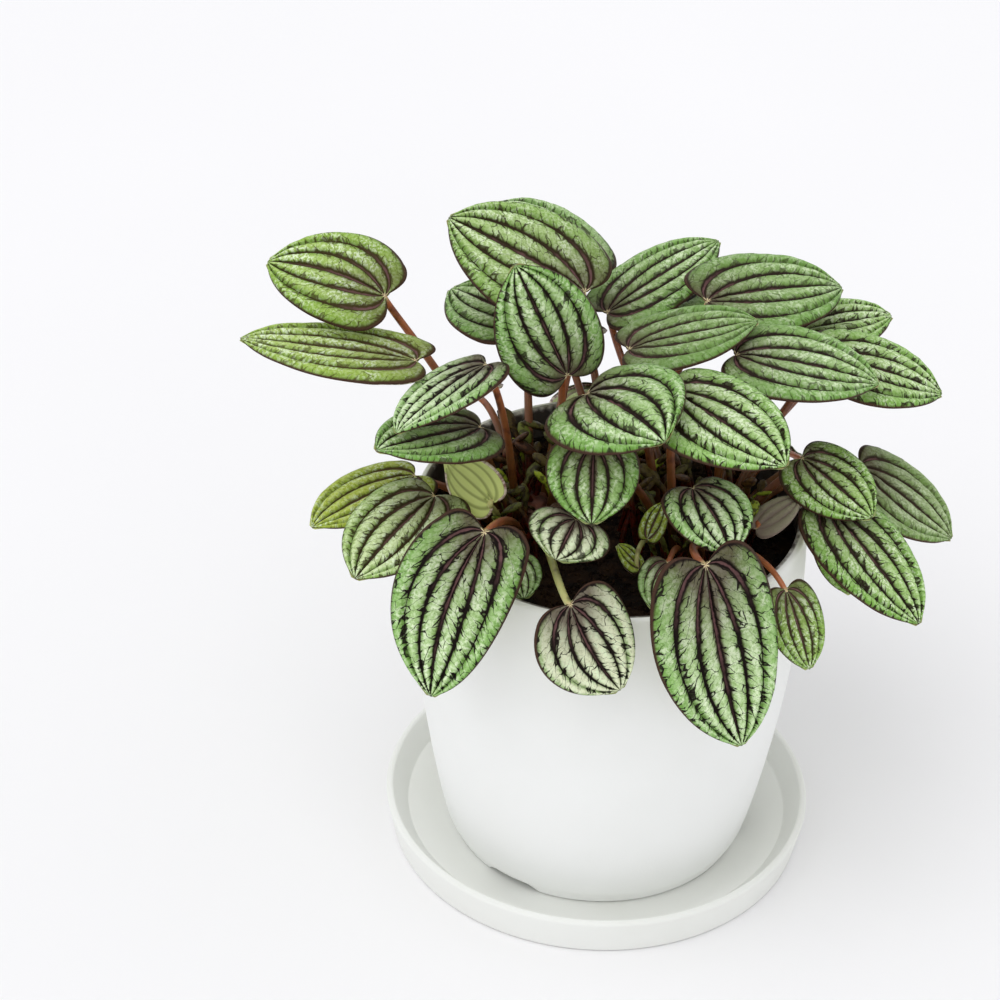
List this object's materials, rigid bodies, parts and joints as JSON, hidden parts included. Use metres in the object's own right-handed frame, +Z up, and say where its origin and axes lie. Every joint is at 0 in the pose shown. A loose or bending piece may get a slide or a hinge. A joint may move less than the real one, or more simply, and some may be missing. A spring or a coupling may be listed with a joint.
{
  "type": "potted plant",
  "caption": "Small peperomia with striped heart-shaped leaves on thin stalks, in a plain white tapered pot that stands on a matching saucer.",
  "frame": {"origin": "middle of the flat underside of the saucer", "axes": "+Z is up along the axis of the pot and saucer; -Y is the front, where two large leaves hang over the rim; +X is to the right of someone who faces the front"},
  "size_m": [0.202, 0.1638, 0.19],
  "materials": {
    "saucer_white": "matte",
    "pot_white": "matte",
    "potting_soil": "matte",
    "rootstock": "matte",
    "leaf_green": "satin"
  },
  "bodies": {
    "root": {"saucer": "saucer_white", "pot": "pot_white", "soil": "potting_soil", "crown_1": "rootstock", "crown_2": "rootstock", "crown_3": "rootstock", "leaf_01": "leaf_green", "leaf_02": "leaf_green", "leaf_03": "leaf_green", "leaf_04": "leaf_green", "leaf_05": "leaf_green", "leaf_06": "leaf_green", "leaf_07": "leaf_green", "leaf_08": "leaf_green", "leaf_09": "leaf_green", "leaf_10": "leaf_green", "leaf_11": "leaf_green", "leaf_12": "leaf_green", "leaf_13": "leaf_green", "leaf_14": "leaf_green", "leaf_15": "leaf_green", "leaf_16": "leaf_green", "leaf_17": "leaf_green", "leaf_18": "leaf_green", "leaf_19": "leaf_green", "leaf_20": "leaf_green", "leaf_21": "leaf_green", "leaf_22": "leaf_green", "leaf_23": "leaf_green", "leaf_24": "leaf_green", "leaf_25": "leaf_green", "leaf_26": "leaf_green", "leaf_27": "leaf_green", "leaf_28": "leaf_green", "leaf_29": "leaf_green", "leaf_30": "leaf_green", "leaf_31": "leaf_green", "leaf_32": "leaf_green", "leaf_33": "leaf_green", "leaf_34": "leaf_green", "leaf_35": "leaf_green", "leaf_36": "leaf_green", "leaf_37": "leaf_green", "leaf_38": "leaf_green", "leaf_39": "leaf_green", "leaf_40": "leaf_green", "leaf_41": "leaf_green", "leaf_42": "leaf_green", "leaf_43": "leaf_green", "leaf_44": "leaf_green", "leaf_45": "leaf_green"}
  },
  "joints": []
}
